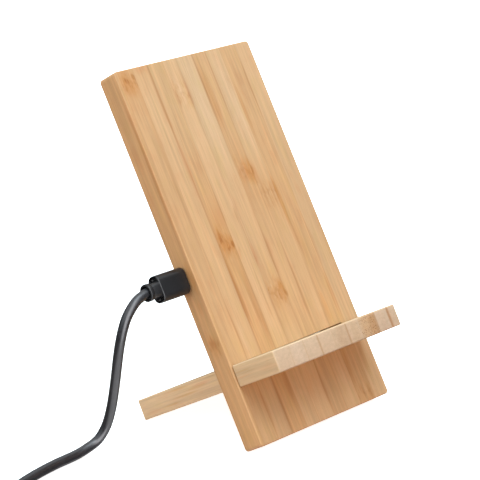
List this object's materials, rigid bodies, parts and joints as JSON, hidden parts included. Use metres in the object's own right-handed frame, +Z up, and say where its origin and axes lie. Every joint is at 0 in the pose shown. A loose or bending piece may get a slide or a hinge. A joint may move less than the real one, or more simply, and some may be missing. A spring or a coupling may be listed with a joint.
{
  "type": "wireless charger stand",
  "caption": "Leaning bamboo panel with a wireless charging coil inside and a cross board through its slot as shelf and leg, with a charging cable in its side.",
  "frame": {"origin": "centre of the stand's footprint box on the table, measured without the charging cable", "axes": "+Z up, -Y towards the person using it (the side the phone leans on), +X to that person's right; the charging socket is on the -X side"},
  "size_m": [0.2315, 0.0992, 0.1467],
  "materials": {
    "bamboo": "laminated strips, sanded and oiled, satin",
    "bamboo_cover": "thin bamboo plate, sanded, matt",
    "screw_steel": "zinc plated",
    "board_green": "solder mask on glass laminate",
    "chip_black": "moulded epoxy",
    "capacitor_tan": "sintered ceramic with tinned ends",
    "copper_wire": "enamelled copper wire",
    "ferrite_grey": "pressed ferrite",
    "foam_black": "closed-cell foam",
    "plated_steel": "nickel plated, drawn",
    "black_moulding": "soft moulded vinyl, fine texture",
    "cable_jacket": "smooth satin jacket",
    "tie_strap": "woven hook-and-loop strap",
    "insert_white": "moulded insulator"
  },
  "bodies": {
    "panel": {"front_panel": "bamboo", "back_cover": "bamboo_cover", "cover_screw_1": "screw_steel", "cover_screw_2": "screw_steel", "cover_screw_3": "screw_steel", "cover_screw_4": "screw_steel", "circuit_board": "board_green", "controller_chip": "chip_black", "driver_chip_1": "chip_black", "driver_chip_2": "chip_black", "filter_inductor": "ferrite_grey", "input_capacitor_1": "capacitor_tan", "input_capacitor_2": "capacitor_tan", "resonance_capacitor_1": "capacitor_tan", "resonance_capacitor_2": "capacitor_tan", "resonance_capacitor_3": "capacitor_tan", "resonance_capacitor_4": "capacitor_tan", "thermistor": "capacitor_tan", "charging_coil": "copper_wire", "coil_lead_1": "copper_wire", "coil_lead_2": "copper_wire", "ferrite_sheet": "ferrite_grey", "foam_pad": "foam_black", "usb_socket_shell": "plated_steel", "usb_socket_tongue": "chip_black"},
    "cross_board": {"stand_board": "bamboo"},
    "cable": {"plug_housing": "black_moulding", "plug_shell": "plated_steel", "plug_insert": "chip_black", "cable_run": "cable_jacket", "cable_coil": "cable_jacket", "cable_tail": "cable_jacket", "cable_tie": "tie_strap", "far_plug_housing": "black_moulding", "far_plug_shell": "plated_steel", "far_plug_insert": "insert_white"}
  },
  "joints": [
    {"name": "board_pull", "type": "slide", "parent": "panel", "child": "cross_board", "axis": [0, -0.9334, 0.3588], "range_m": [0, 0.078]},
    {"name": "plug_pull", "type": "slide", "parent": "panel", "child": "cable", "axis": [-1, 0, 0], "range_m": [0, 0.008]}
  ]
}
